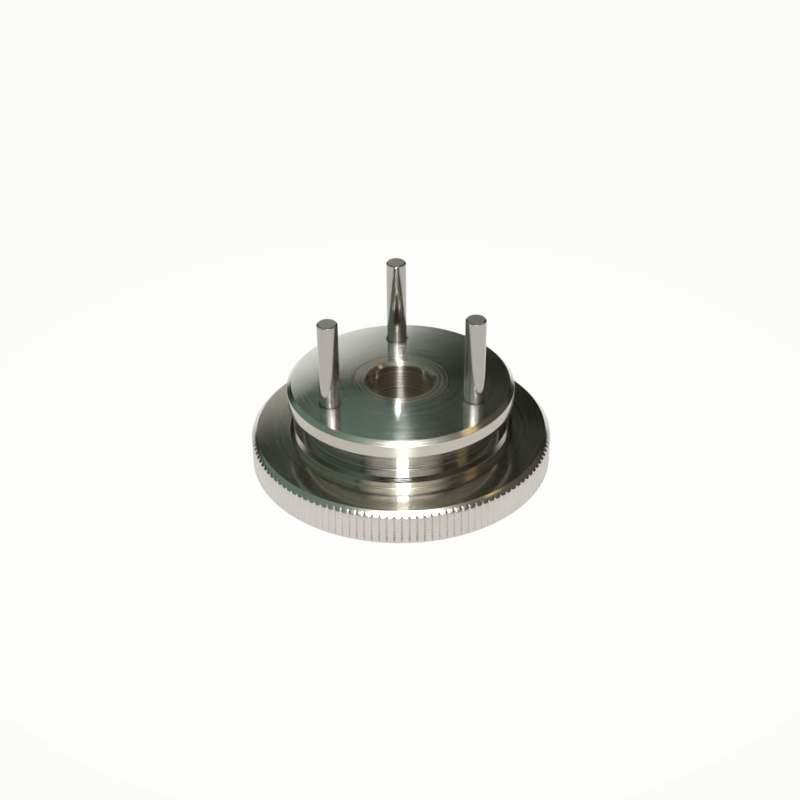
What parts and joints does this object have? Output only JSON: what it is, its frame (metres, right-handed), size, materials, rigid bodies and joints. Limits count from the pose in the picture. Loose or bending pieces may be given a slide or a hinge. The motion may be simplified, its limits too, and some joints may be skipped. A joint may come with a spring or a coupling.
{
  "type": "three-pin flywheel",
  "caption": "Turned metal disc with a straight-knurled rim, a grooved hub with a through bore, and upright steel pins that carry centrifugal clutch shoes.",
  "frame": {"origin": "on the flywheel's axis, in the plane of the disc's back face", "axes": "+Z along the axis, from the back face towards the free ends of the pins; one pin stands almost on +Y, the other two in front of the bore on either side"},
  "size_m": [0.034, 0.034, 0.0201],
  "materials": {
    "flywheel_body": "bare turned aluminium, polished faces with fine circular turning marks, straight-knurled rim",
    "clutch_pin": "ground hardened steel, faint rings along the shank, flat chamfered ends"
  },
  "bodies": {
    "root": {"flywheel_body": "flywheel_body", "clutch_pin_back": "clutch_pin", "clutch_pin_left": "clutch_pin", "clutch_pin_right": "clutch_pin"}
  },
  "joints": []
}
